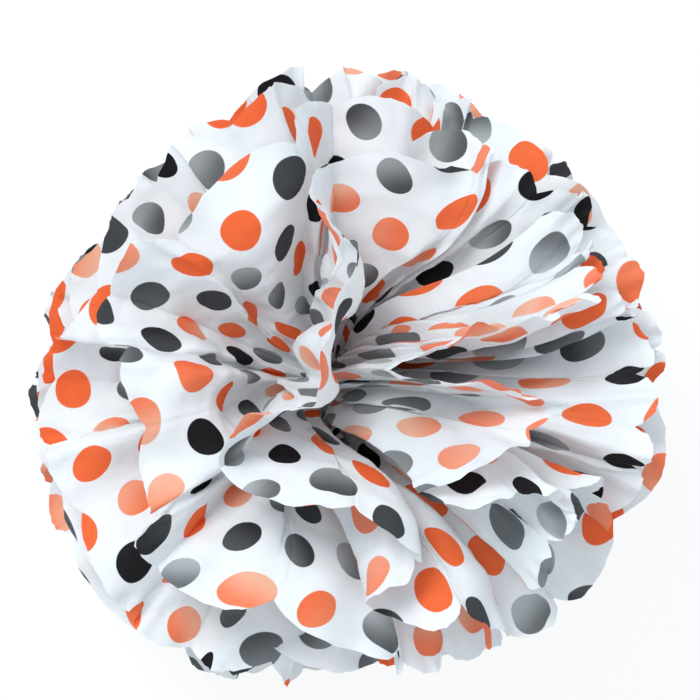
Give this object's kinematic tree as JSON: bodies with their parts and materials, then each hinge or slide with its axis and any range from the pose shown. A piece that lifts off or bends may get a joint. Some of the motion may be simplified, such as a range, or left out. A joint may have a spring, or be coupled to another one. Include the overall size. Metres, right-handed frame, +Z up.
{
  "type": "tissue paper pom pom",
  "caption": "Hanging ball of dotted white tissue paper: pleated sheets tied in the middle with wire and pulled open into ruffled layers with scalloped ends.",
  "frame": {"origin": "middle of the wire eye that the ball hangs from", "axes": "+Z up out of the eye, along the line that the sheets are stacked on; +X and -X the two ways that the fans open; +Y across the pleats"},
  "size_m": [0.3999, 0.4029, 0.4057],
  "materials": {
    "tissue_paper": "matt tissue with printed dots",
    "florist_wire": "bare thin wire"
  },
  "bodies": {
    "root": {"paper_sheet_1": "tissue_paper", "paper_sheet_2": "tissue_paper", "paper_sheet_3": "tissue_paper", "paper_sheet_4": "tissue_paper", "paper_sheet_5": "tissue_paper", "paper_sheet_6": "tissue_paper", "paper_sheet_7": "tissue_paper", "paper_sheet_8": "tissue_paper", "tie_wire": "florist_wire"}
  },
  "joints": []
}
